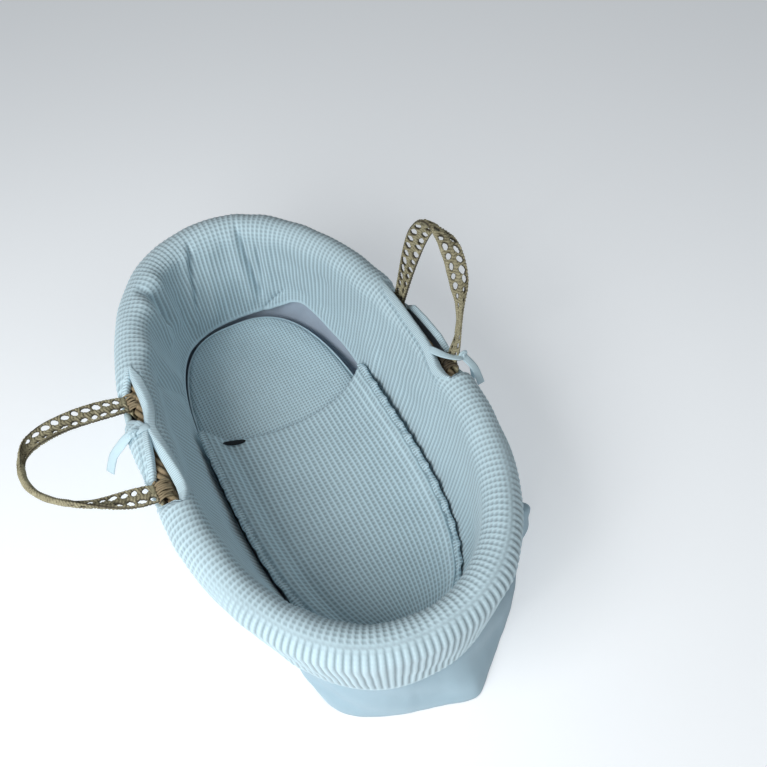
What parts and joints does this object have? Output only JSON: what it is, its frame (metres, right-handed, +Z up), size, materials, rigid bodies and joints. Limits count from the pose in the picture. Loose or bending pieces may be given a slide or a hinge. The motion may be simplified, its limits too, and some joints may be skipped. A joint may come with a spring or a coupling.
{
  "type": "moses basket",
  "caption": "Oval plaited palm baby basket in a padded waffle surround, with mattress, coverlet and open-work palm carrying handles.",
  "frame": {"origin": "centre of the underside of the palm base, on the floor", "axes": "+Z up, +Y towards the head end, +X to the right seen from the foot"},
  "size_m": [0.7136, 0.8801, 0.398],
  "materials": {
    "palm": "plaited dried palm leaf",
    "palm_cord": "twisted palm cord",
    "waffle_cotton": "honeycomb waffle weave, matt",
    "plain_cotton": "plain weave, matt",
    "lining_cloth": "plain weave, matt",
    "wadding": "polyester wadding",
    "foam": "soft foam",
    "tape": "cotton tape",
    "elastic": "covered elastic",
    "tab_cloth": "plain black satin tape"
  },
  "bodies": {
    "basket": {"palm_base": "palm", "palm_wall": "palm", "palm_rim": "palm", "rim_lashing": "palm_cord", "root_left_head": "palm", "root_left_foot": "palm", "root_right_head": "palm", "root_right_foot": "palm", "root_stitching": "palm_cord", "surround_wadding": "wadding", "surround_cover": "waffle_cotton", "lower_lining": "lining_cloth", "left_slot_facing": "lining_cloth", "right_slot_facing": "lining_cloth", "skirt": "plain_cotton", "skirt_elastic": "elastic", "left_tie": "tape", "right_tie": "tape"},
    "left_handle": {"left_handle_band": "palm", "left_grip_wrap": "palm"},
    "right_handle": {"right_handle_band": "palm", "right_grip_wrap": "palm"},
    "mattress": {"mattress_foam": "foam", "mattress_cover": "waffle_cotton", "mattress_piping": "plain_cotton"},
    "coverlet": {"coverlet_backing": "plain_cotton", "coverlet_wadding": "wadding", "coverlet_top_cloth": "waffle_cotton", "coverlet_left_frill": "waffle_cotton", "coverlet_right_frill": "waffle_cotton", "coverlet_tab": "tab_cloth"}
  },
  "joints": [
    {"name": "left_handle_swing", "type": "hinge", "parent": "basket", "child": "left_handle", "pos_m": [-0.23746, 0.028, 0.216], "axis": [0.0538, 0.9986, 0], "range_deg": [-7, 123]},
    {"name": "right_handle_swing", "type": "hinge", "parent": "basket", "child": "right_handle", "pos_m": [0.23746, 0.028, 0.216], "axis": [0.0538, -0.9986, 0], "range_deg": [-71, 59]},
    {"name": "mattress_lift", "type": "slide", "parent": "basket", "child": "mattress", "axis": [0, 0, 1], "range_m": [0, 0.08]},
    {"name": "coverlet_lift", "type": "slide", "parent": "mattress", "child": "coverlet", "axis": [0, 0, 1], "range_m": [0, 0.06]}
  ]
}
